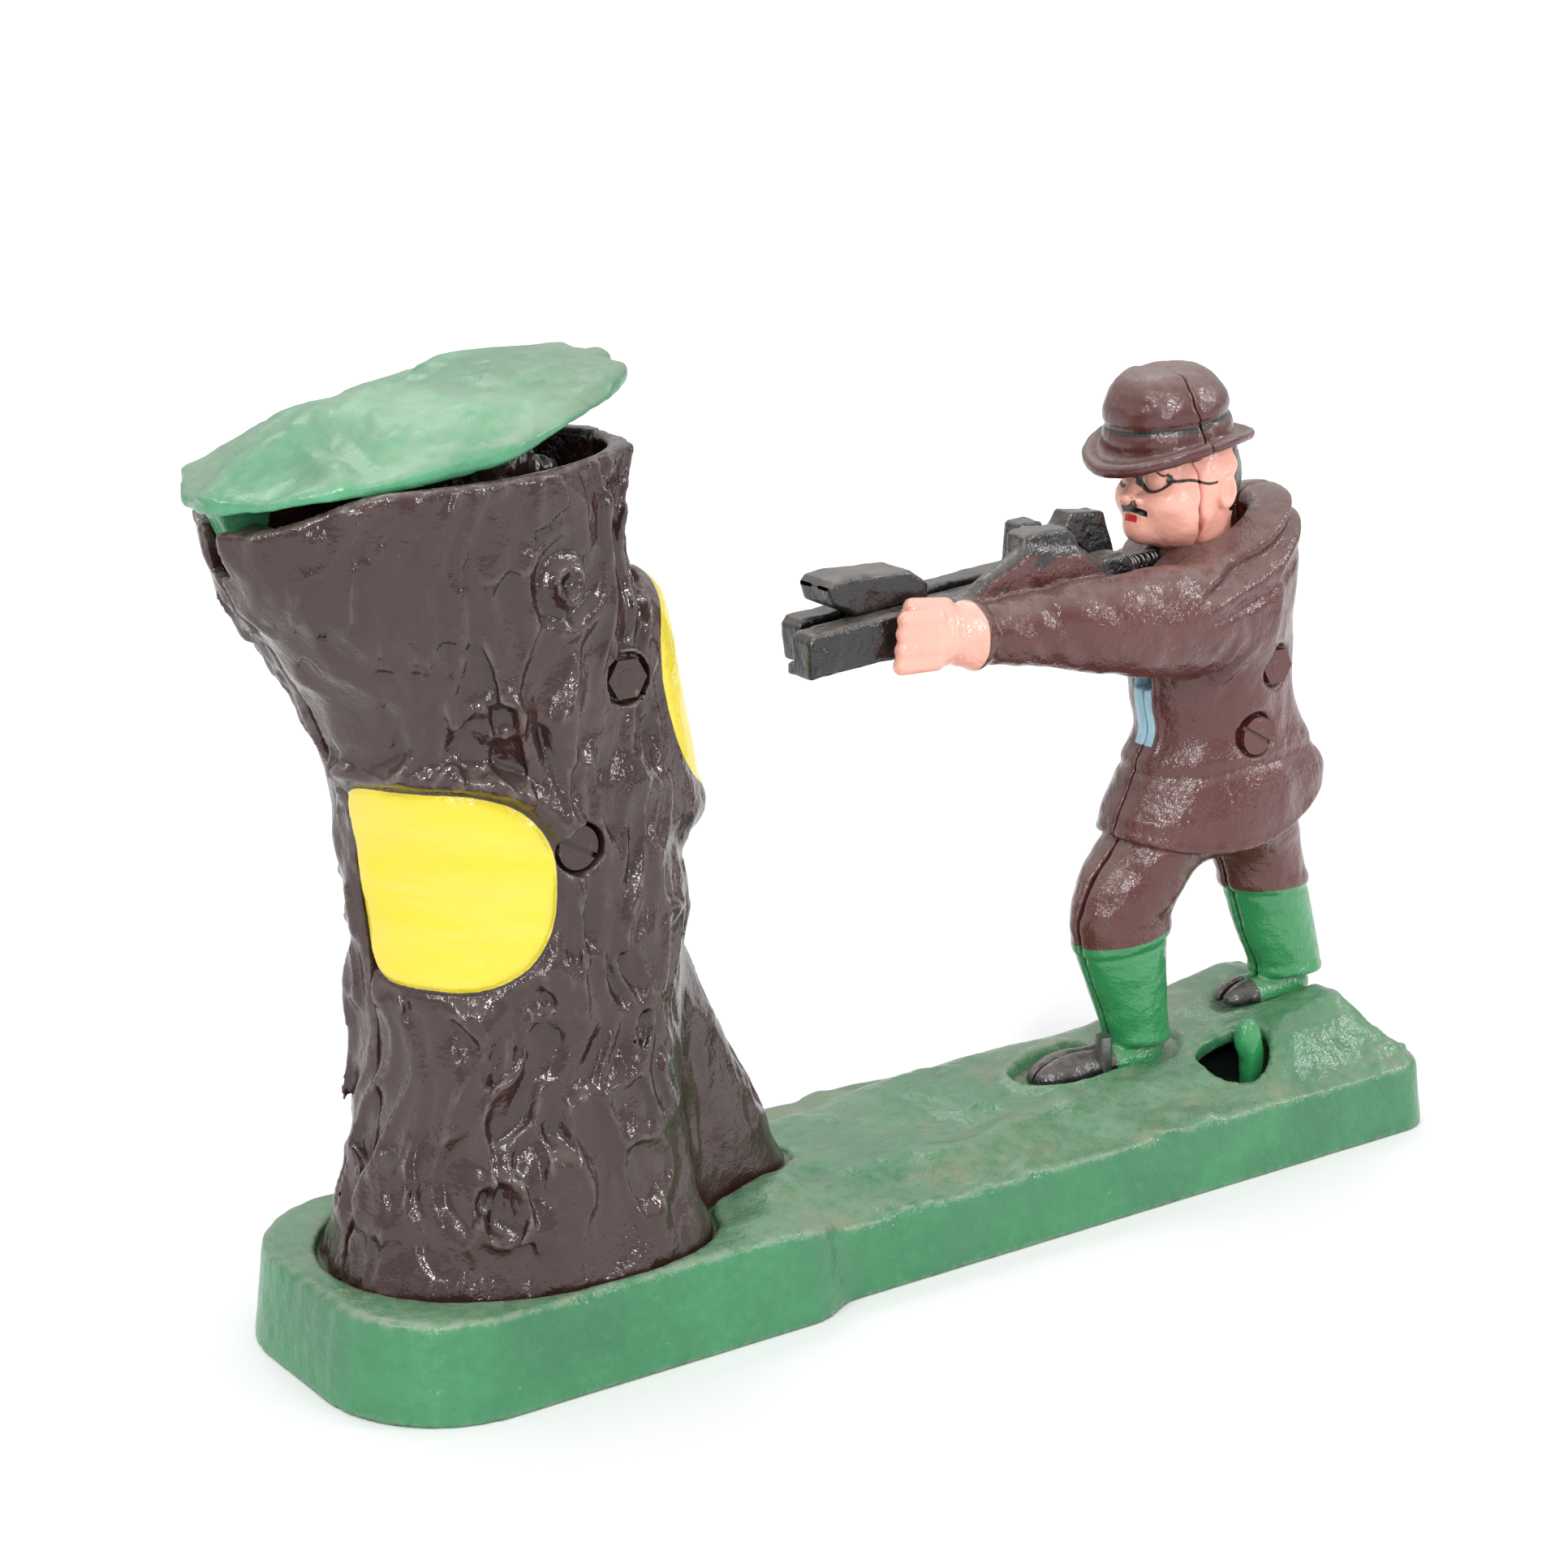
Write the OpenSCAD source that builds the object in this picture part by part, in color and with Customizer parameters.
// Cast-iron mechanical bank: a marksman with a rifle faces a hollow tree trunk.
// A coin laid in front of the striker is shot into the slot of the trunk's burl, while a
// bar under the base lifts a bear out of the trunk, which pushes the leafy lid open.
// X runs along the base from the tree (-X) to the figure (+X), Y across it, Z is up.
// Positions inside the modules are measured from the middle of the base along X.

/* [Base] */
// Length of the base along X
base_length = 254; // [250:1:260]
// Width of the base around the tree
base_tree_width = 70; // [68:1:74]
// Width of the base under the figure
base_figure_width = 61.6; // [60:0.2:64]
// Height of the rim around the tree
base_rim_z = 18.5; // [18:0.5:20]
// Height of the base's side wall under the figure
base_side_z = 14.5; // [14:0.5:15]
// Height of the deck that the tree stands on
deck_z = 16; // [16:0.5:16.5]
// Thickness of the base's deck
deck_wall = 3.5; // [3:0.25:3.5]

/* [Trunk] */
// Thickness of the trunk's wall
trunk_wall = 3.6; // [3:0.2:4]
// Width of the coin slot in the burl
slot_width = 3.2; // [2.8:0.2:4]
// Height of the coin slot in the burl
slot_height = 28; // [24:1:30]

/* [Lid] */
// Tilt of the closed lid
lid_tilt = 10.8; // [10:0.2:12]
// Thickness of the lid's edge
lid_edge = 3; // [2.5:0.25:3.5]

/* [Mechanism] */
// Radius of the hinge and pivot pins
pin_r = 1.5; // [1.5:0.1:1.6]
// Radial running clearance of the pins
pin_play = 0.06; // [0.04:0.01:0.08]
// Radius of the machine screws
screw_r = 1.75; // [1.6:0.05:1.8]
// Height of the middle of the connecting bar
bar_z = 10.5; // [10.5:0.1:10.6]

/* [Figure] */
// Thickness of the figure's wall
body_wall = 2.8; // [2.4:0.2:3]
// Width of the rifle's channel
channel_width = 4.6; // [4.4:0.1:4.8]
// Slope of the rifle, muzzle down
rifle_slope = 4.5; // [4:0.5:5]
// Forward tilt of the hat
hat_tilt = 9; // [6:1:12]

/* [Hidden] */
$fn = 32;

// The middle of the base lies here, because the lid overhangs the tree's end
base_mid_x = 6;
base_x0 = -base_length / 2;
base_x1 = base_length / 2;
step_x = -24;
tree_half = base_tree_width / 2;
figure_half = base_figure_width / 2;
crown_half = 24;
base_wall = 4;
// A length that passes any part when something is cut away
far_away = 200;
seam_gap = 0.05;

// Terrain of the deck along X: where it is, how high it is
terrain = [[-34, 16.5], [0, 16.8], [34, 19.6], [37, 20], [74, 20], [80, 21.8], [90, 24.8],
    [93, 26], [114.5, 26], [116, 28.5], [119.5, 28], [122, 24.5], [126.5, 18]];

// Trunk stations from the foot up: height, middle, half length, half width, root's reach
trunk_stations = [[16.1, -82, 37, 30, 31], [22, -82, 35, 29, 26], [30, -81.8, 33.2, 28, 20],
    [38, -81, 31.8, 27, 15], [47, -80.3, 30.6, 26, 10.5], [60, -79.5, 30, 25, 4.5],
    [75, -79.5, 30, 25, 0.5], [88, -81, 29.6, 25, 0], [100, -82.8, 29.6, 25.2, 0],
    [112, -85.4, 30.4, 26, 0], [123, -88.6, 32.2, 27.2, 0], [134, -92.6, 35.8, 28.8, 0],
    [146, -95.6, 39, 30.4, 0], [158, -96.2, 40.8, 31.2, 0]];
root_direction = 8;
rim_slope = 0.1;
cavity_top = 175;
trunk_screw_at = [[-69.5, 123], [-82, 96]];
trunk_surface_y = [21.5, 25];
tree_foot_screw = [-60, 17];
boss_r = 4.2;
recess_r = 4.6;
trap_x = -82;
trap_r = 17.5;

// Burl stations along +X: place, half width, half height, height of its middle
burl_stations = [[-72, 15, 23, 117], [-56, 14.5, 22, 117], [-49, 13.5, 20.5, 116.5],
    [-46, 12, 19, 116]];

lid_hinge = [-130, 150.5];
lid_middle = [-98.25, 1.5, 164.6];
lid_half = [42, 27.5];

rod_x = -90;
rod_y = 5;
push_rod_r = 2;
lift_pivot = [-38, 18.8];
lift_y = [2.5, 7.5];
lift_tip_z = 21.5;
bar_height = 2.5;
// Where the bar's support pins are along X, and how high their lugs reach
bar_supports = [[-8, 14], [46, 17.5]];
thumb_pivot = [86.5, 4];
thumb_y = -15;
arm_width = 3.6;
spring_x = 95.5;
sear_pivot = [60, 116.5];
sear_foot = [66, 15.2];
sear_top = [72, 107];
sear_rod_r = 1.2;
ramp_x = 65;

// The muzzle's upper edge, where the rifle's own axes start
muzzle = [-22, 121.5];
bore_half = channel_width / 2;
rifle_half = 8.6;

// Torso stations from the hem up: height, middle, half length, half width, tilt of the ring
torso_stations = [[63, 84, 24, 14.5, 0.1], [71, 86, 26, 16, 0.05], [78, 87.6, 24.6, 16, 0],
    [86, 86.4, 20.2, 14.2, 0], [94, 85.2, 18, 13.6, 0], [104, 84.2, 18.2, 15, 0],
    [113, 82.6, 19.8, 17, 0.05], [121, 82, 20.4, 17.4, 0.12], [126, 82.6, 18.6, 15.5, 0.24],
    [131, 83.4, 15.4, 13.2, 0.42]];
// Arm stations: place along X, middle in Y and Z, half width, half height
near_arm = [[84, -11, 113, 7, 9.5], [70, -14.5, 113, 7.6, 10.4], [52, -14.5, 114.4, 7, 9.6],
    [34, -13, 116, 6, 7.4], [15, -11, 117.2, 5.2, 5.4], [8, -9.8, 118.6, 5.8, 6.4],
    [0, -9, 119.4, 5.6, 6.2], [-5, -8.6, 119.6, 3.4, 4]];
far_arm = [[86, 11, 114, 7, 9], [76, 15.5, 111, 7.2, 8.6], [64, 17, 109.5, 6.4, 7],
    [54, 14.5, 113, 5.6, 6], [46, 10.5, 118.5, 5, 5.6], [39, 8, 120, 3.2, 3.6]];
// Leg stations from the foot up: height, middle, half length, half width
front_leg = [[20.1, 66.2, 6, 5.6], [30, 65.2, 6.4, 6], [44, 64.8, 6.8, 6.6],
    [50, 64.6, 8.4, 8], [58, 67, 10, 9.4], [68, 72, 12.5, 11.5]];
rear_leg = [[26.1, 108.4, 5.6, 5.6], [36, 107, 6, 6], [48, 104.4, 6.8, 6.8],
    [52, 103, 7.6, 8], [58, 100, 9, 9.4], [68, 95, 11.5, 11.5]];
figure_screw_at = [[91.5, 101], [86, 87.5]];
figure_surface_y = [12.6, 13.6];
foot_screws = [[56, -3.5, 20.1], [108.5, 3.2, 26.1]];
head_pivot = [80, 118];
head_middle = [71, 137.5];
head_split_x = 75;
hat_middle = [72, 146.2];

bear_stations = [[129, 9, 8], [134, 12, 10.5], [143, 12.4, 11], [150, 9.5, 9],
    [154, 7.6, 7.4], [160, 8, 8], [164, 5.2, 5.2], [165.6, 2, 2]];
bear_x = -84;

// Angles around a ring; no corner lies on the parting plane
function lens(count) = [for (i = [0:count - 1]) 360 * (i + 0.5) / count];

// An upright ring: an ellipse whose height rises with X by the tilt, and whose
// +X side reaches out by the root's length around its direction
function level_ring(z, xc, a, b, root = 0, tilt = 0, count = 28) =
    [for (t = lens(count))
        let (reach = root * pow(max(0, cos(t - root_direction)), 6),
             x = a * cos(t) + reach)
        [xc + x, b * sin(t), z + tilt * x]];

// A ring across X, for shapes that are lofted along X
function cross_ring(x, yc, zc, b, c, count = 20) =
    [for (t = lens(count)) [x, yc + b * cos(t), zc + c * sin(t)]];

// Walks the rings and closes both ends; the rings turn anticlockwise seen from ahead
module loft(rings) {
    n = len(rings[0]);
    m = len(rings);
    sides = [for (j = [0:m - 2], i = [0:n - 1])
        let (a = j * n + i, b = j * n + (i + 1) % n)
        each [[a, a + n, b + n], [a, b + n, b]]];
    polyhedron(
        points = [for (ring = rings) each ring],
        faces = concat([[for (i = [0:n - 1]) i]], sides, [[for (i = [n - 1:-1:0]) (m - 1) * n + i]]),
        convexity = 6);
}

module from_base_middle() {
    translate([base_mid_x, 0, 0]) children();
}

// A cylinder along Y from y0 to y1, at [x, z]
module along_y(at, r, y0, y1) {
    translate([at[0], y1, at[1]]) rotate([90, 0, 0]) cylinder(r = r, h = y1 - y0);
}

// An XZ outline extruded along Y from y0 to y1
module side_plate(y0, y1) {
    translate([0, y1, 0]) rotate([90, 0, 0]) linear_extrude(height = y1 - y0) children();
}

// All that a half leaves to the other: -1 is the near half, 1 the far half
module other_side(side) {
    translate([-far_away, side < 0 ? -seam_gap : -far_away, -1])
        cube([2 * far_away, far_away + seam_gap, far_away + 20]);
}

module hex_nut(r, bore, h) {
    difference() {
        cylinder(r = r, h = h, $fn = 6);
        translate([0, 0, -1]) cylinder(r = bore, h = h + 2);
    }
}

// A slotted cheese-head screw that points along +Z, with its head below z = 0
module slotted_screw(length, r, head_r, head_h) {
    difference() {
        union() {
            translate([0, 0, -0.6]) cylinder(r = r, h = length + 0.6);
            translate([0, 0, -head_h]) cylinder(r = head_r, h = head_h);
        }
        translate([-head_r - 1, -0.45, -head_h - 1]) cube([2 * head_r + 2, 0.9, 1.9]);
    }
}

// ---------------------------------------------------------------- base

// A corner's arc around [x, y], from angle t0 over a quarter turn
function corner(x, y, r, t0) =
    [for (i = [0:6]) [x + r * cos(t0 + i * 15), y + r * sin(t0 + i * 15)]];

module round_square(x0, x1, half, r0, r1) {
    polygon(concat(corner(x1 - r1, half - r1, r1, 0), corner(x0 + r0, half - r0, r0, 90),
        corner(x0 + r0, r0 - half, r0, 180), corner(x1 - r1, r1 - half, r1, 270)));
}

module terrain_outline(inset, drop) {
    x_end = terrain[len(terrain) - 1][0] - inset;
    top = [for (p = terrain) [min(p[0], x_end), p[1] - drop]];
    polygon(concat([[terrain[0][0], -1]], top, [[x_end, -1]]));
}

module base_block(inset, drop) {
    translate([0, 0, -inset]) {
        linear_extrude(height = base_rim_z - drop + inset)
            round_square(base_x0 + inset, step_x - inset, tree_half - inset, 22 - inset, 3);
        linear_extrude(height = base_side_z - drop + inset)
            round_square(step_x - 12 - inset, base_x1 - inset, figure_half - inset, 3, 9 - inset);
    }
    side_plate(-crown_half + inset, crown_half - inset) terrain_outline(inset, drop);
}

// Outline of the trunk's foot, grown by the gap
module foot_outline(gap) {
    s = trunk_stations[0];
    polygon([for (p = level_ring(0, s[1], s[2] + gap, s[3] + gap, s[4])) [p[0], p[1]]]);
}

module pivot_lugs(at, y_inner, width, top, bottom, half_length) {
    for (y0 = [y_inner[0] - width, y_inner[1]])
        translate([at[0] - half_length, y0, bottom]) cube([2 * half_length, width, top - bottom]);
}

module base_casting() {
    color([0.24, 0.55, 0.37]) from_base_middle() difference() {
        union() {
            difference() {
                base_block(0, 0);
                base_block(base_wall, deck_wall);
                translate([0, 0, -1]) linear_extrude(height = 1) square(2 * far_away, center = true);
                // the pocket that the trunk stands in
                translate([0, 0, deck_z]) linear_extrude(height = 20) foot_outline(0.8);
            }
            translate([0, 0, deck_z - deck_wall]) linear_extrude(height = deck_wall)
                foot_outline(2);
            // lugs of the lift lever's pin, above the deck
            pivot_lugs(lift_pivot, [lift_y[0] - 0.4, lift_y[1] + 0.4], 2.4, 22, deck_z - 1, 3.6);
            // lugs of the thumb lever's pin, which hang from the deck behind the bar's end
            for (y0 = [thumb_y - 4.8, thumb_y + 2.4])
                side_plate(y0, y0 + 2.4) polygon([[83.1, 0.8], [97.6, 0.8], [97.6, 23.5],
                    [93.3, 23.5], [93.3, 8], [83.1, 8]]);
            // lugs that carry the connecting bar's support pins
            for (s = bar_supports)
                pivot_lugs([s[0], 0], [-6.2, 6.2], 2.2, s[1], 5, 2.6);
        }
        // coin trap with the two notches that let the latch bar through
        translate([trap_x, 0, 5]) cylinder(r = trap_r, h = 20, $fn = 64);
        translate([trap_x - trap_r - 2.6, -3.2, 5]) cube([2 * trap_r + 5.2, 6.4, 20]);
        // slot of the lift lever
        translate([lift_pivot[0] - 9, lift_y[0] - 0.6, 6])
            cube([15, lift_y[1] - lift_y[0] + 1.2, 12]);
        // hole of the thumb lever
        translate([73, -21, 8]) cube([16.5, 12, 20]);
        // hole of the sear rod
        translate([sear_foot[0] + 0.3, 0, 12]) cylinder(r = 2.4, h = 20);
        along_y(lift_pivot, pin_r + pin_play, -3, 12);
        along_y(thumb_pivot, pin_r + pin_play, thumb_y - 6, thumb_y + 6);
        for (s = bar_supports)
            along_y([s[0], 7.6], 1.2 + pin_play, -10, 10);
        for (s = [-1, 1])
            translate([tree_foot_screw[0], s * tree_foot_screw[1], 5])
                cylinder(r = screw_r + 0.15, h = 20);
        for (p = foot_screws)
            translate([p[0], p[1], 8]) cylinder(r = screw_r + 0.15, h = 25);
    }
}

module base_screws() {
    color([0.45, 0.42, 0.38]) from_base_middle() {
        for (s = [-1, 1])
            translate([tree_foot_screw[0], s * tree_foot_screw[1], deck_z - deck_wall])
                slotted_screw(13, screw_r, 3.2, 2);
        for (p = foot_screws)
            translate([p[0], p[1], p[2] - deck_wall - 0.1]) slotted_screw(10, screw_r, 3.2, 2);
    }
}

// ---------------------------------------------------------------- trunk

module trunk_outer() {
    last = len(trunk_stations) - 1;
    loft([for (i = [0:last]) let (s = trunk_stations[i])
        level_ring(s[0], s[1], s[2], s[3], s[4], i == last ? rim_slope : 0)]);
}

module trunk_cavity() {
    s0 = trunk_stations[0];
    s9 = trunk_stations[len(trunk_stations) - 1];
    w = trunk_wall;
    loft(concat(
        [level_ring(s0[0] - 3, s0[1], s0[2] - w, s0[3] - w, s0[4] * 0.92)],
        [for (s = trunk_stations) level_ring(s[0], s[1], s[2] - w, s[3] - w, s[4] * 0.92)],
        [level_ring(cavity_top, s9[1] - 1, s9[2] - w + 1, s9[3] - w)]));
}

module burl() {
    loft([for (s = burl_stations) cross_ring(s[0], 0, s[3], s[1], s[2], 24)]);
}

module trunk_half(side) {
    near = side < 0;
    difference() {
        union() {
            difference() {
                union() {
                    trunk_outer();
                    burl();
                }
                trunk_cavity();
            }
            // bosses of the two cross screws
            for (i = [0, 1])
                along_y(trunk_screw_at[i], boss_r + 1.2, -trunk_surface_y[i], trunk_surface_y[i]);
            // bosses of the foot screws
            for (s = [-1, 1])
                translate([tree_foot_screw[0], s * tree_foot_screw[1], trunk_stations[0][0]])
                    cylinder(r = 4.4, h = 12);
            // lugs of the lid's hinge pin
            along_y(lid_hinge, 3.6, -9, 9);
            // guides of the bear's push rod, on the far half
            if (!near)
                for (z = [104, 56])
                    translate([rod_x - 4.5, 1, z]) cube([9, 21.8, 9]);
        }
        other_side(side);
        // coin slot through the burl and the wall behind it
        translate([-66, -slot_width / 2, 116 - slot_height / 2])
            cube([30, slot_width, slot_height]);
        // notch for the lid's hinge tab
        translate([-145, -3.2, 145.5]) cube([24, 6.4, 20]);
        for (i = [0, 1]) {
            at = trunk_screw_at[i];
            along_y(at, screw_r + 0.1, -40, 40);
            along_y(at, recess_r, -40, -(trunk_surface_y[i] - 2.6));
            along_y(at, recess_r, trunk_surface_y[i] - 2.6, 40);
        }
        for (s = [-1, 1])
            translate([tree_foot_screw[0], s * tree_foot_screw[1], 10])
                cylinder(r = screw_r + 0.05, h = 16.5);
        along_y(lid_hinge, pin_r + 0.02, -9.5, 9.5);
        translate([rod_x, rod_y, 20]) cylinder(r = push_rod_r + 0.08, h = 110);
    }
}

module trunk_near_half() {
    color([0.27, 0.17, 0.16]) from_base_middle() trunk_half(-1);
}

module trunk_far_half() {
    color([0.27, 0.17, 0.16]) from_base_middle() trunk_half(1);
}

// One cross screw with its head on one side of the part; side -1 puts the head near
module cross_screw(at, seat, side) {
    translate([at[0], side * seat, at[1]]) rotate([side * 90, 0, 0]) rotate([0, 0, 30])
        slotted_screw(2 * seat + 2.4, screw_r, 3.9, 2.2);
}

module cross_nut(at, seat, side) {
    translate([at[0], side * (seat + 0.05), at[1]]) rotate([side * -90, 0, 0])
        hex_nut(3.9, screw_r + 0.02, 2.3);
}

module trunk_screws() {
    color([0.3, 0.2, 0.18]) from_base_middle() {
        cross_screw(trunk_screw_at[0], trunk_surface_y[0] - 2.6, 1);
        cross_screw(trunk_screw_at[1], trunk_surface_y[1] - 2.6, -1);
    }
}

module trunk_nuts() {
    color([0.3, 0.2, 0.18]) from_base_middle() {
        cross_nut(trunk_screw_at[0], trunk_surface_y[0] - 2.6, -1);
        cross_nut(trunk_screw_at[1], trunk_surface_y[1] - 2.6, 1);
    }
}

// ---------------------------------------------------------------- lid

// The leafy outline: an ellipse with shallow lobes
function lid_ring(z, inset) =
    [for (t = lens(40))
        let (lobe = 1 + 0.02 * cos(5 * t + 40) + 0.018 * cos(9 * t))
        [(lid_half[0] - inset) * lobe * cos(t), (lid_half[1] - inset) * lobe * sin(t), z]];

module lid() {
    color([0.43, 0.73, 0.57]) from_base_middle() difference() {
        union() {
            translate(lid_middle) rotate([0, -lid_tilt, 0])
                loft([lid_ring(0, 1.2), lid_ring(1, 0), lid_ring(lid_edge, 0.4),
                    lid_ring(lid_edge + 2.2, 9)]);
            along_y(lid_hinge, 3, -2.8, 2.8);
            side_plate(-2.8, 2.8) polygon([[-136, 157], [-133, 150.5], [-127, 150.5],
                [-124, 161.5], [-130, 160.5]]);
        }
        along_y(lid_hinge, pin_r + pin_play, -4, 4);
    }
}

module lid_hinge_pin() {
    color([0.4, 0.36, 0.33]) from_base_middle() along_y(lid_hinge, pin_r, -9, 9);
}

// ---------------------------------------------------------------- bear

module bear() {
    color([0.22, 0.15, 0.13]) from_base_middle() difference() {
        union() {
            loft([for (s = bear_stations) level_ring(s[0], bear_x, s[1], s[2], 0, 0, 20)]);
            // muzzle, towards the figure
            loft([cross_ring(bear_x + 4, 0, 157.5, 4.4, 4, 16),
                cross_ring(bear_x + 11, 0, 156.5, 3, 2.8, 16),
                cross_ring(bear_x + 13.4, 0, 156.3, 2, 2, 16)]);
            for (s = [-1, 1]) {
                // fore paws
                loft([cross_ring(bear_x + 5, s * 6, 147, 4, 4, 16),
                    cross_ring(bear_x + 15, s * 6.5, 144, 3, 3, 16)]);
                // ears
                translate([bear_x - 2, s * 5.4, 163]) sphere(r = 2.3, $fn = 16);
            }
        }
        translate([rod_x, rod_y, 120]) cylinder(r = push_rod_r, h = 20);
    }
}

module bear_push_rod() {
    color([0.5, 0.48, 0.45]) from_base_middle() translate([rod_x, rod_y, 0]) {
        translate([0, 0, 25.4]) cylinder(r = push_rod_r, h = 114);
        translate([0, 0, 24]) cylinder(r = 3.6, h = 1.5);
    }
}

// ---------------------------------------------------------------- mechanism

module lift_lever() {
    x = lift_pivot[0];
    z = lift_pivot[1];
    color([0.42, 0.4, 0.38]) from_base_middle() difference() {
        union() {
            along_y(lift_pivot, 3.6, lift_y[0], lift_y[1]);
            along_y([rod_x, lift_tip_z], 2.2, lift_y[0], lift_y[1]);
            side_plate(lift_y[0], lift_y[1]) polygon([
                [x + 1.8, z], [x + 1.8, bar_z - 3], [x - 1.8, bar_z - 3], [x - 1.8, z - 2],
                [x - 3.4, z + 0.5], [-54, lift_tip_z - 2], [rod_x, lift_tip_z - 2.2],
                [rod_x, lift_tip_z + 2.2], [x - 4, z + 4.2], [x, z + 3.6]]);
        }
        along_y(lift_pivot, pin_r + pin_play, lift_y[0] - 1, lift_y[1] + 1);
    }
}

module lift_lever_pin() {
    color([0.5, 0.48, 0.45]) from_base_middle()
        along_y(lift_pivot, pin_r, lift_y[0] - 2.8, lift_y[1] + 2.8);
}

module connecting_bar() {
    x0 = lift_pivot[0];
    x1 = thumb_pivot[0];
    color([0.42, 0.4, 0.38]) from_base_middle() difference() {
        union() {
            translate([0, 0, bar_z - bar_height / 2]) linear_extrude(height = bar_height)
                polygon([[x0 - 7, -1], [x0 + 6, -1], [x0 + 12, -4.5], [ramp_x + 4, -4.5],
                    [ramp_x + 8, -19.5], [x1 + 6, -19.5], [x1 + 6, -10.5], [ramp_x + 13, -10.5],
                    [ramp_x + 11, 4.5], [x0 + 12, 4.5], [x0 + 6, 11], [x0 - 7, 11]]);
            // the ramp that lifts the sear rod
            side_plate(-2.5, 2.5) polygon([[ramp_x - 1, bar_z + 1], [ramp_x, bar_z + 1.25],
                [ramp_x + 4.1, bar_z + 5.35], [ramp_x + 6, bar_z + 5.35], [ramp_x + 6, bar_z]]);
        }
        translate([x0 - 2.8, lift_y[0] - 0.5, 0]) cube([5.6, lift_y[1] - lift_y[0] + 1, 20]);
        translate([x1 - 2.9, thumb_y - 2.5, 0]) cube([5.8, 5, 20]);
    }
}

module bar_support_pins() {
    color([0.5, 0.48, 0.45]) from_base_middle()
        for (s = bar_supports)
            along_y([s[0], 7.6], 1.2, -8.4, 8.4);
}

module thumb_lever() {
    x = thumb_pivot[0];
    z = thumb_pivot[1];
    h = arm_width / 2;
    color([0.24, 0.55, 0.37]) from_base_middle() difference() {
        union() {
            along_y(thumb_pivot, 3, thumb_y - 2, thumb_y + 2);
            along_y([x - 2, 25.2], 2.4, thumb_y - 2, thumb_y + 2);
            side_plate(thumb_y - 2, thumb_y + 2) polygon([
                [x - h, z], [x - h, z + 17], [x - 4.4, 25.2], [x - 2, 27.6], [x + 0.4, 25.4],
                [x + h + 0.4, z + 16], [x + h, z + 3], [spring_x + 2.5, z + 3],
                [spring_x + 2.5, z], [x, z - 2.4]]);
        }
        along_y(thumb_pivot, pin_r + pin_play, thumb_y - 3, thumb_y + 3);
    }
}

module thumb_lever_pin() {
    color([0.5, 0.48, 0.45]) from_base_middle()
        along_y(thumb_pivot, pin_r, thumb_y - 4.8, thumb_y + 4.8);
}

// Return spring between the lever's heel and the deck: stacked rings stand for the coils
module return_spring() {
    color([0.6, 0.6, 0.58]) from_base_middle()
        translate([spring_x, thumb_y, thumb_pivot[1] + 3.1]) difference() {
            cylinder(r = 2, h = 15.3);
            translate([0, 0, -1]) cylinder(r = 1.3, h = 18);
        }
}

module slanted_rod(from, to, r) {
    run = to - from;
    translate([from[0], 0, from[1]]) rotate([0, atan2(run[0], run[1]), 0])
        cylinder(r = r, h = norm(run));
}

module sear_rod() {
    color([0.5, 0.48, 0.45]) from_base_middle() {
        slanted_rod(sear_foot, sear_top, sear_rod_r);
        translate([sear_foot[0], 0, sear_foot[1]]) sphere(r = 1.5);
    }
}

module sear() {
    x = sear_pivot[0];
    z = sear_pivot[1];
    color([0.27, 0.17, 0.16]) from_base_middle() difference() {
        union() {
            along_y(sear_pivot, 2.6, -1.8, 1.8);
            side_plate(-1.8, 1.8) polygon([
                [x - 1.6, z + 2], [x - 8.6, z + 5.6], [x - 10.6, z + 5.4], [x - 9.4, z + 2.6],
                [x - 2.4, z - 1], [x - 2.6, z - 6], [x - 4.8, z - 13.4], [x - 2.6, z - 14.4],
                [x + 0.4, z - 7], [x + 12, z - 9.2], [x + 14, z - 7.6], [x + 11, z - 5],
                [x + 2.4, z - 1]]);
        }
        along_y(sear_pivot, pin_r + pin_play, -3, 3);
    }
}

module sear_pin() {
    color([0.5, 0.48, 0.45]) from_base_middle() along_y(sear_pivot, pin_r, -6.5, 6.5);
}

// ---------------------------------------------------------------- figure

// Places its children in the rifle's own axes: X along the barrel from the muzzle, Z up
module on_rifle() {
    translate([muzzle[0], 0, muzzle[1]]) rotate([0, -rifle_slope, 0]) children();
}

module rifle_side(side) {
    y0 = side < 0 ? -rifle_half : 0;
    on_rifle() side_plate(y0, y0 + rifle_half) polygon(side < 0
        ? [[0, -8.2], [0, -1], [1, 0], [51, 0], [51.4, 9], [64, 7.4], [64, 0.6], [76, 0.6],
            [84, -8], [84, -20], [60, -14], [22, -8.6]]
        : [[0, -8.2], [0, -1], [1, 0], [58, 0], [59, 8], [64, 8], [66, 5], [70, 5], [72, 8],
            [80, 6.6], [84, -8], [84, -20], [60, -14], [22, -8.6]]);
}

module torso_outer() {
    loft([for (s = torso_stations) level_ring(s[0], s[1], s[2], s[3], 0, s[4], 24)]);
}

module leg(stations) {
    loft([for (s = stations) level_ring(s[0], s[1], s[2], s[3], 0, 0, 24)]);
}

module arm(stations) {
    loft([for (i = [len(stations) - 1:-1:0]) let (s = stations[i])
        cross_ring(s[0], s[1], s[2], s[3], s[4], 16)]);
}

module shoe(x0, x1, z) {
    side_plate(-5.4, 5.4) polygon([[x0, z], [x0, z + 2], [x0 + 5, z + 4.6], [x1 - 16, z + 6],
        [x1 - 12, z + 9], [x1, z + 9], [x1, z]]);
}

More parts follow.
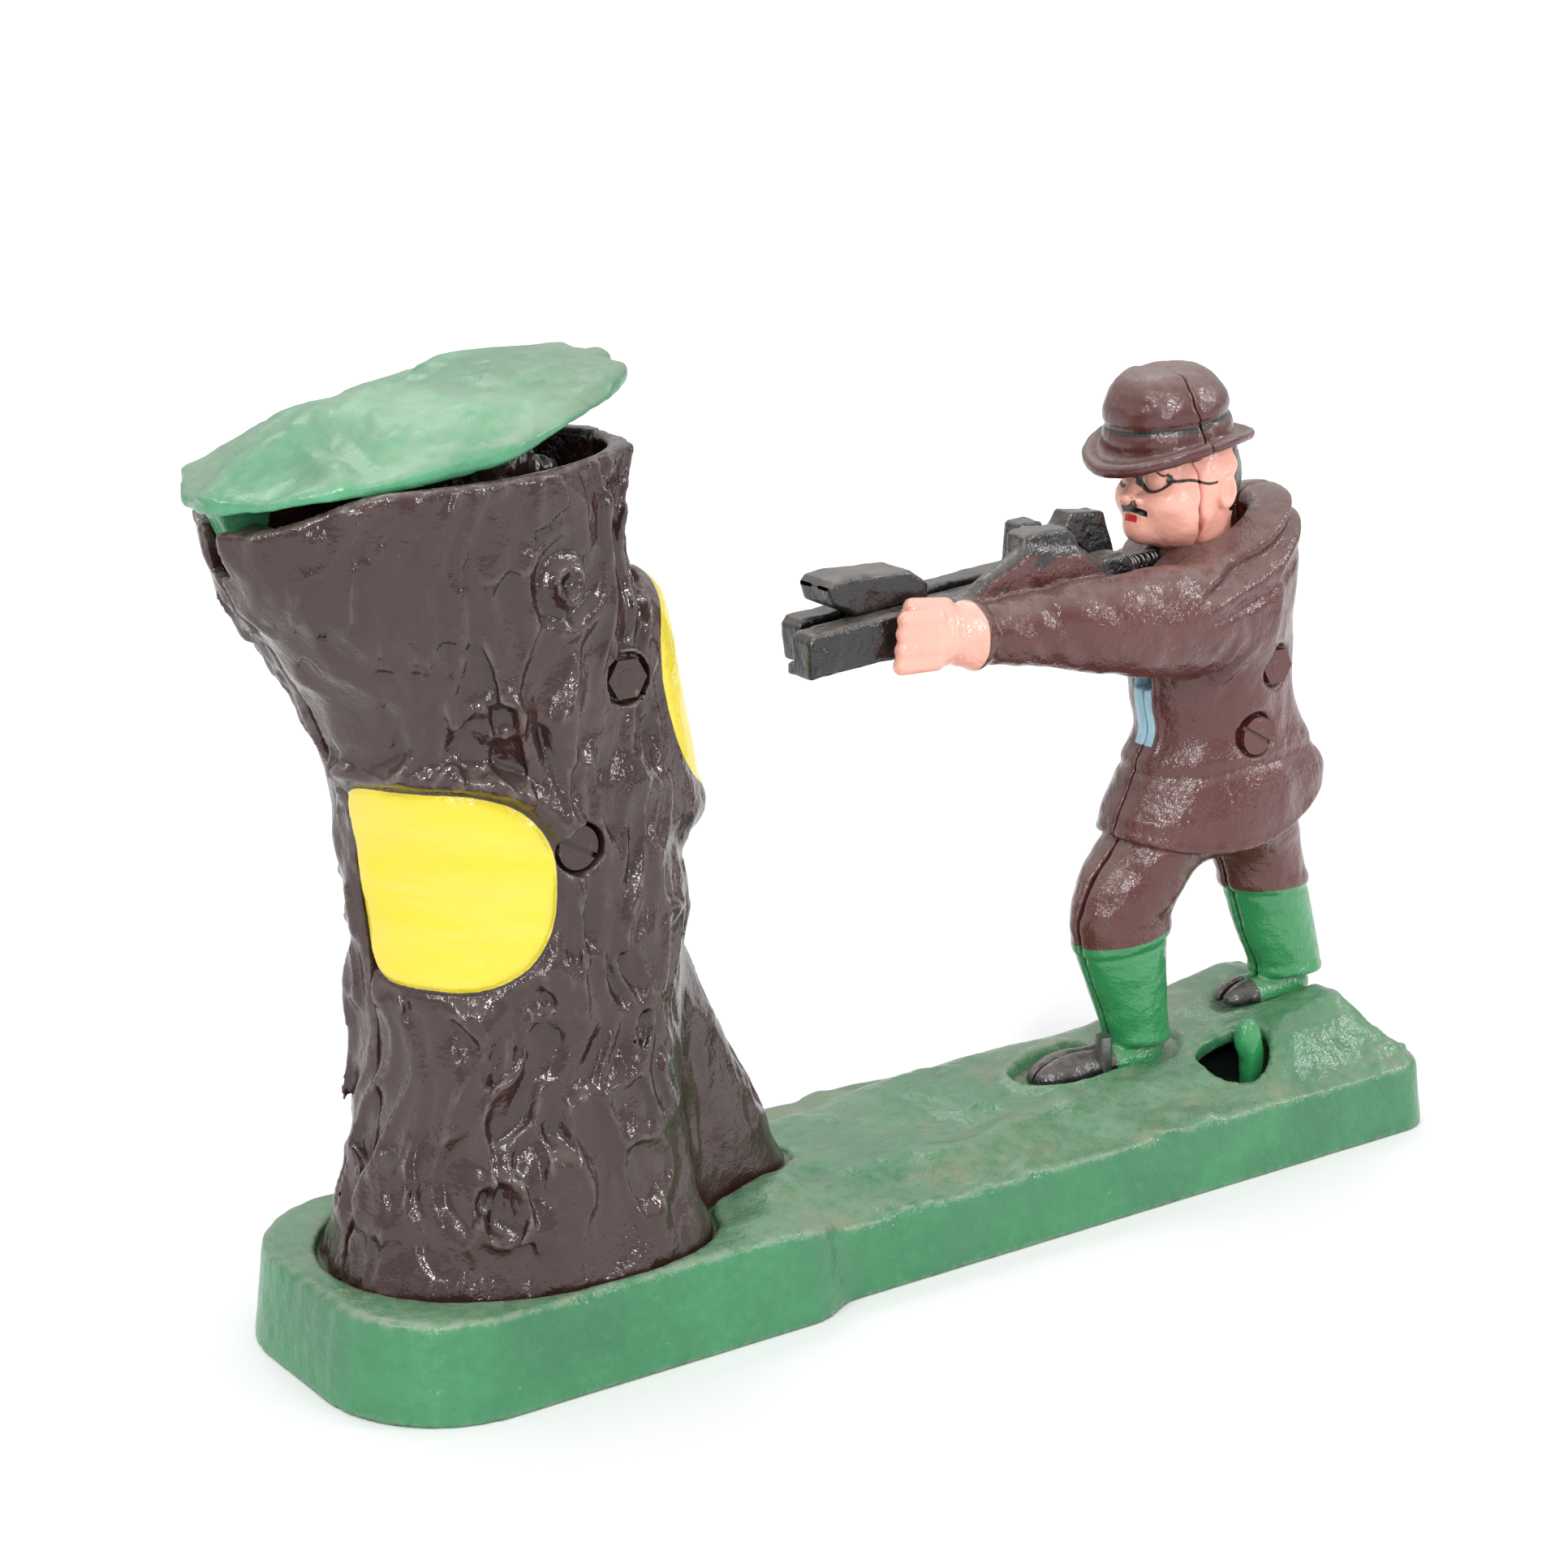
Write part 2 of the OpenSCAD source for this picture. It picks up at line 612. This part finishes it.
module torso_cavity() {
    w = body_wall;
    s0 = torso_stations[0];
    s9 = torso_stations[len(torso_stations) - 1];
    loft(concat(
        [level_ring(s0[0] - 6, s0[1], s0[2] - w - 0.4, s0[3] - w - 0.4, 0, s0[4], 24)],
        [for (s = torso_stations) level_ring(s[0], s[1], s[2] - w, s[3] - w, 0, s[4], 24)],
        [level_ring(s9[0] + 8, s9[1], s9[2] - w, s9[3] - w, 0, s9[4], 24)]));
}

module figure_half(side) {
    near = side < 0;
    difference() {
        union() {
            difference() {
                union() {
                    torso_outer();
                    arm(near ? near_arm : far_arm);
                }
                torso_cavity();
            }
            rifle_side(side);
            leg(front_leg);
            leg(rear_leg);
            shoe(38, 72, 20.1);
            shoe(93, 114, 26.1);
            for (i = [0, 1])
                along_y(figure_screw_at[i], boss_r, -figure_surface_y[i], figure_surface_y[i]);
            along_y(head_pivot, 4, side < 0 ? -15.5 : 5.4, side < 0 ? -5.4 : 15.5);
        }
        other_side(side);
        // channel of the coin, the striker and the sear
        on_rifle() side_plate(-bore_half, bore_half) polygon([[-5, -6.2], [66, -6.2],
            [66, -31], [99, -31], [99, 24], [-5, 24]]);
        // way of the sear rod through the front leg
        slanted_rod([sear_foot[0] - 0.1, 16], [sear_foot[0] + 5.5, 100], 2.2);
        // room for the neck's stem
        translate([head_pivot[0] - 8, -5.3, head_pivot[1] - 9]) cube([18, 10.6, 20]);
        for (i = [0, 1]) {
            at = figure_screw_at[i];
            along_y(at, screw_r + 0.1, -30, 30);
            along_y(at, recess_r, -30, -(figure_surface_y[i] - 2));
            along_y(at, recess_r, figure_surface_y[i] - 2, 30);
        }
        along_y(head_pivot, pin_r + 0.02, -10, 10);
        along_y(sear_pivot, pin_r + 0.02, -6.8, 6.8);
        for (p = foot_screws)
            translate([p[0], p[1], 12]) cylinder(r = screw_r + 0.05, h = p[2] - 5);
    }
}

module figure_near_half() {
    color([0.33, 0.18, 0.16]) from_base_middle() figure_half(-1);
}

module figure_far_half() {
    color([0.33, 0.18, 0.16]) from_base_middle() figure_half(1);
}

module figure_screws() {
    color([0.3, 0.2, 0.18]) from_base_middle() {
        cross_screw(figure_screw_at[0], figure_surface_y[0] - 2, 1);
        cross_screw(figure_screw_at[1], figure_surface_y[1] - 2, -1);
    }
}

module figure_nuts() {
    color([0.3, 0.2, 0.18]) from_base_middle() {
        cross_nut(figure_screw_at[0], figure_surface_y[0] - 2, -1);
        cross_nut(figure_screw_at[1], figure_surface_y[1] - 2, 1);
    }
}

// Head, hat and neck in one piece, before they are parted across
module whole_head() {
    x = head_middle[0];
    z = head_middle[1];
    loft([for (s = [[-11.4, 5, 4], [-9.4, 9, 7], [-5, 11.4, 9], [0, 12.2, 10], [6, 12.2, 10.2],
        [10, 11.6, 10]]) level_ring(z + s[0], x + 1, s[1], s[2], 0, 0, 24)]);
    translate([79, 0, 126.6]) rotate([0, -6, 0]) cylinder(r = 7.6, h = 12);
    translate([74, -5, 114.2]) cube([12, 10, 14]);
    translate([hat_middle[0], 0, hat_middle[1]]) rotate([0, -hat_tilt, 0])
        rotate_extrude($fn = 64) polygon([[0, -1], [17.6, -1], [18, 0], [17.6, 0.8],
            [12.6, 1.4], [12.4, 6], [11.8, 11.5], [9.8, 15.2], [6, 17], [0, 17.4]]);
}

module head_part(front) {
    difference() {
        whole_head();
        translate([front ? head_split_x - 0.05 : head_split_x + 0.05 - far_away, -50, 100])
            cube([far_away, 100, 100]);
        along_y(head_pivot, pin_r + pin_play, -8, 8);
        translate([60, 0, 136]) rotate([0, 90, 0]) cylinder(r = screw_r, h = 24);
    }
}

module head_front_half() {
    color([0.92, 0.62, 0.54]) from_base_middle() head_part(true);
}

module head_back_half() {
    color([0.33, 0.18, 0.16]) from_base_middle() head_part(false);
}

module head_rivet() {
    color([0.5, 0.48, 0.45]) from_base_middle()
        translate([61, 0, 136]) rotate([0, 90, 0]) cylinder(r = screw_r - 0.02, h = 22.5);
}

module head_pin() {
    color([0.5, 0.48, 0.45]) from_base_middle() along_y(head_pivot, pin_r, -9.8, 9.8);
}

module striker() {
    color([0.12, 0.12, 0.12]) from_base_middle() on_rifle() {
        // hammer head that rides on the rifle's two walls
        side_plate(-5.2, 5.2) polygon([[16, 0.4], [7.6, 6.4], [8.6, 7.6], [12, 7.8],
            [28, 4.6], [30.4, 0.4]]);
        // tongue and slide bar in the channel
        side_plate(-1.8, 1.8) polygon([[15, -5], [15, 1], [30, 1], [30, -1], [62, -1],
            [62, -4.5], [56, -4.5], [56, -3], [53, -3], [52, -4.5], [30, -5]]);
    }
}

// Striker spring, drawn as long as it is when the striker is cocked
module striker_spring() {
    color([0.6, 0.6, 0.58]) from_base_middle() on_rifle()
        translate([83.5, 0, -4.5]) rotate([0, 90, 0]) difference() {
            cylinder(r = 1.7, h = 7.5);
            translate([0, 0, -1]) cylinder(r = 1.05, h = 10);
        }
}

// ---------------------------------------------------------------- coin trap

module coin_trap_cover() {
    color([0.24, 0.55, 0.37]) from_base_middle() translate([trap_x, 0, 0]) difference() {
        union() {
            translate([0, 0, 10.2]) cylinder(r = trap_r + 2, h = 2.2, $fn = 64);
            translate([0, 0, 12.3]) cylinder(r = trap_r - 0.4, h = 3.4, $fn = 64);
        }
        translate([0, 0, 5]) cylinder(r = screw_r + 0.06, h = 15);
    }
}

module trap_latch_bar() {
    color([0.5, 0.48, 0.45]) from_base_middle() translate([trap_x, 0, 0]) difference() {
        translate([-2.8, -trap_r - 2, deck_z + 0.3]) cube([5.6, 2 * trap_r + 4, 1.8]);
        translate([0, 0, 10]) cylinder(r = screw_r, h = 10);
    }
}

module trap_screw() {
    color([0.45, 0.42, 0.38]) from_base_middle() translate([trap_x, 0, 9.9])
        slotted_screw(8.2, screw_r, 4, 2);
}

base_casting();
base_screws();
trunk_near_half();
trunk_far_half();
trunk_screws();
trunk_nuts();
lid();
lid_hinge_pin();
bear();
bear_push_rod();
lift_lever();
lift_lever_pin();
connecting_bar();
bar_support_pins();
thumb_lever();
thumb_lever_pin();
return_spring();
sear_rod();
sear();
sear_pin();
figure_near_half();
figure_far_half();
figure_screws();
figure_nuts();
head_front_half();
head_back_half();
head_rivet();
head_pin();
striker();
striker_spring();
coin_trap_cover();
trap_latch_bar();
trap_screw();
